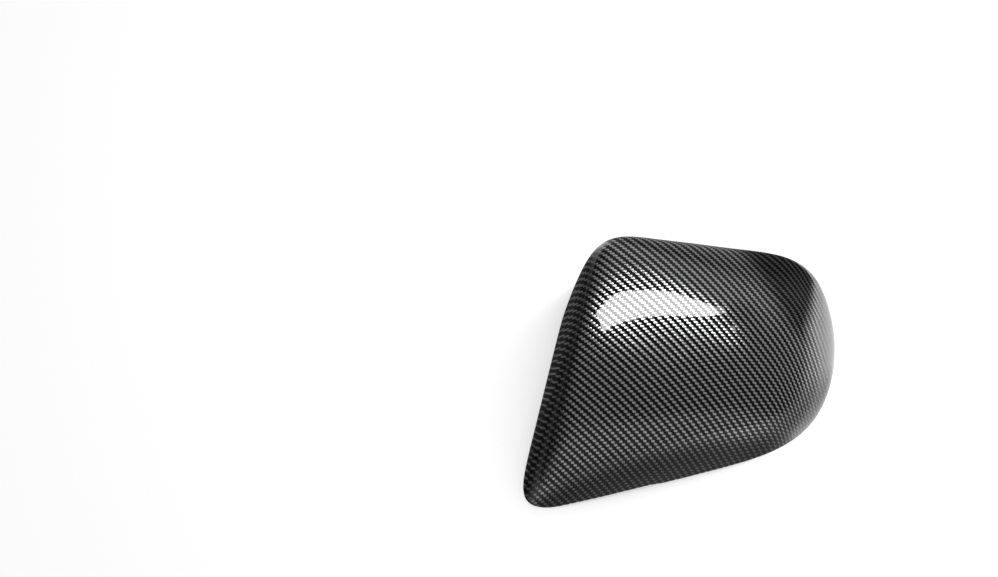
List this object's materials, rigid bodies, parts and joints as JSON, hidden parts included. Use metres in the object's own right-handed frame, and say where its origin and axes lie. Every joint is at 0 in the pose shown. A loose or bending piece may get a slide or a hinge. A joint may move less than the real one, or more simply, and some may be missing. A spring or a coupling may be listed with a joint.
{
  "type": "wing mirror cover",
  "caption": "Domed wing mirror cover with a pointed lower inboard corner, a face that falls outboard, an open lipped rim and snap clips inside, in a gloss carbon-weave print.",
  "frame": {"origin": "middle of the rim's bounding box, in the plane of the rim", "axes": "+X towards the outboard end, +Y towards the upper edge as fitted, +Z out of the rim plane towards the top of the dome"},
  "size_m": [0.2234, 0.2012, 0.0835],
  "materials": {
    "twill_print": "gloss clear coat over a printed twill weave; the inside is bare black moulding"
  },
  "bodies": {
    "root": {"mirror_cover": "twill_print"}
  },
  "joints": []
}
